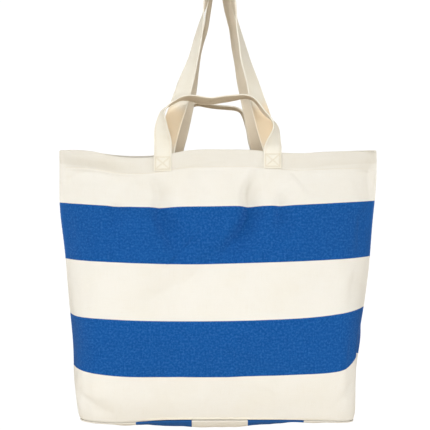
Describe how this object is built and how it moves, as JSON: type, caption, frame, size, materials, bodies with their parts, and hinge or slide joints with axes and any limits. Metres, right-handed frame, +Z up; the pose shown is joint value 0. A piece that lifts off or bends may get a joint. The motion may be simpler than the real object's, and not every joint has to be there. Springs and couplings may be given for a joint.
{
  "type": "canvas tote bag",
  "caption": "Open canvas tote with wide stripes, a rectangular sagging base, short hand handles outside the rim and long shoulder straps inside it, hanging by the straps.",
  "frame": {"origin": "the point where a horizontal hook arm bears on the underside of the two long straps at their highest point, halfway between the front and the back strap", "axes": "+Z up, +Y from the front of the bag to its back, +X to the right seen from the front; the hook arm lies along Y"},
  "size_m": [0.5066, 0.1424, 0.747],
  "materials": {
    "striped_canvas": "plain-woven heavy cotton, ecru with wide royal blue stripes, matt",
    "cream_webbing": "close-woven cotton webbing, ecru, matt",
    "cream_thread": "twisted cotton thread, ecru",
    "seam_binding": "cotton tape, ecru, matt"
  },
  "bodies": {
    "bag": {"base_panel": "striped_canvas", "front_panel": "striped_canvas", "back_panel": "striped_canvas", "front_hem_facing": "striped_canvas", "back_hem_facing": "striped_canvas", "base_seam_binding": "seam_binding", "left_seam_binding": "seam_binding", "right_seam_binding": "seam_binding", "front_hem_stitch": "cream_thread", "back_hem_stitch": "cream_thread", "front_box_stitch_left": "cream_thread", "front_box_stitch_right": "cream_thread", "back_box_stitch_left": "cream_thread", "back_box_stitch_right": "cream_thread", "front_handle_end_left": "cream_webbing", "front_handle_end_right": "cream_webbing", "front_strap_end_left": "cream_webbing", "front_strap_end_right": "cream_webbing", "back_handle_end_left": "cream_webbing", "back_handle_end_right": "cream_webbing", "back_strap_end_left": "cream_webbing", "back_strap_end_right": "cream_webbing"},
    "front_strap": {"front_strap": "cream_webbing"},
    "front_handle": {"front_handle": "cream_webbing"},
    "back_strap": {"back_strap": "cream_webbing"},
    "back_handle": {"back_handle": "cream_webbing"}
  },
  "joints": [
    {"name": "front_strap_fold", "type": "hinge", "parent": "bag", "child": "front_strap", "pos_m": [0, -0.03828, -0.30445], "axis": [1, 0, 0], "range_deg": [0, 140]},
    {"name": "front_handle_fold", "type": "hinge", "parent": "bag", "child": "front_handle", "pos_m": [0, -0.03828, -0.30445], "axis": [1, 0, 0], "range_deg": [0, 140]},
    {"name": "back_strap_fold", "type": "hinge", "parent": "bag", "child": "back_strap", "pos_m": [0, 0.04826, -0.30445], "axis": [-1, 0, 0], "range_deg": [0, 145]},
    {"name": "back_handle_fold", "type": "hinge", "parent": "bag", "child": "back_handle", "pos_m": [0, 0.04826, -0.30445], "axis": [-1, 0, 0], "range_deg": [0, 145]}
  ],
  "couplings": [
    {"joint": "front_handle_fold", "follows": "front_strap_fold", "ratio": 1},
    {"joint": "back_handle_fold", "follows": "back_strap_fold", "ratio": 1}
  ]
}
